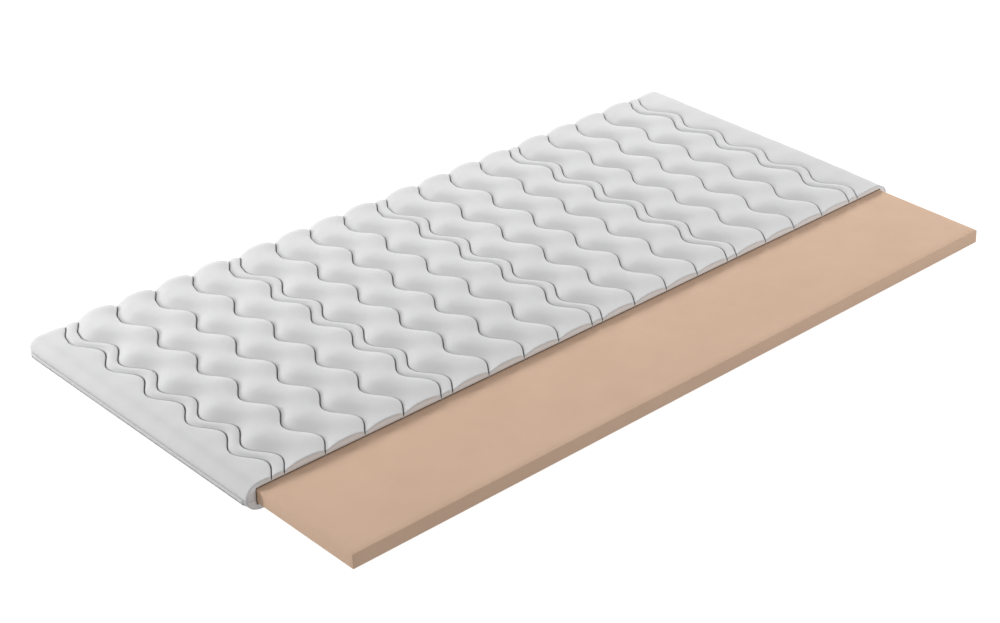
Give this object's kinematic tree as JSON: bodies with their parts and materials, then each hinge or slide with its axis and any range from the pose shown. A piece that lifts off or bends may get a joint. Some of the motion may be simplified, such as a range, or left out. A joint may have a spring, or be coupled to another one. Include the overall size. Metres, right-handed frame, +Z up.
{
  "type": "mattress",
  "caption": "Thin foam mattress in a padded, wave-quilted cover that is cut away along one long side and shows the bare foam core.",
  "frame": {"origin": "centre of the outline on the surface the mattress lies on", "axes": "+X along the length, away from the short side with the zip; +Y across the width, away from the bare foam; +Z up"},
  "size_m": [2.036, 1.2116, 0.0792],
  "materials": {
    "foam": "matt, open-cell cut foam in pale peach",
    "quilted_cloth": "soft light grey knitted cloth quilted onto wadding",
    "bottom_cloth": "plain light grey cloth over wadding",
    "zip_tape": "woven tape with a fine closed coil"
  },
  "bodies": {
    "root": {"foam_core": "foam", "cover_top_panel": "quilted_cloth", "cover_bottom_panel": "bottom_cloth", "zip_strip": "zip_tape"}
  },
  "joints": []
}
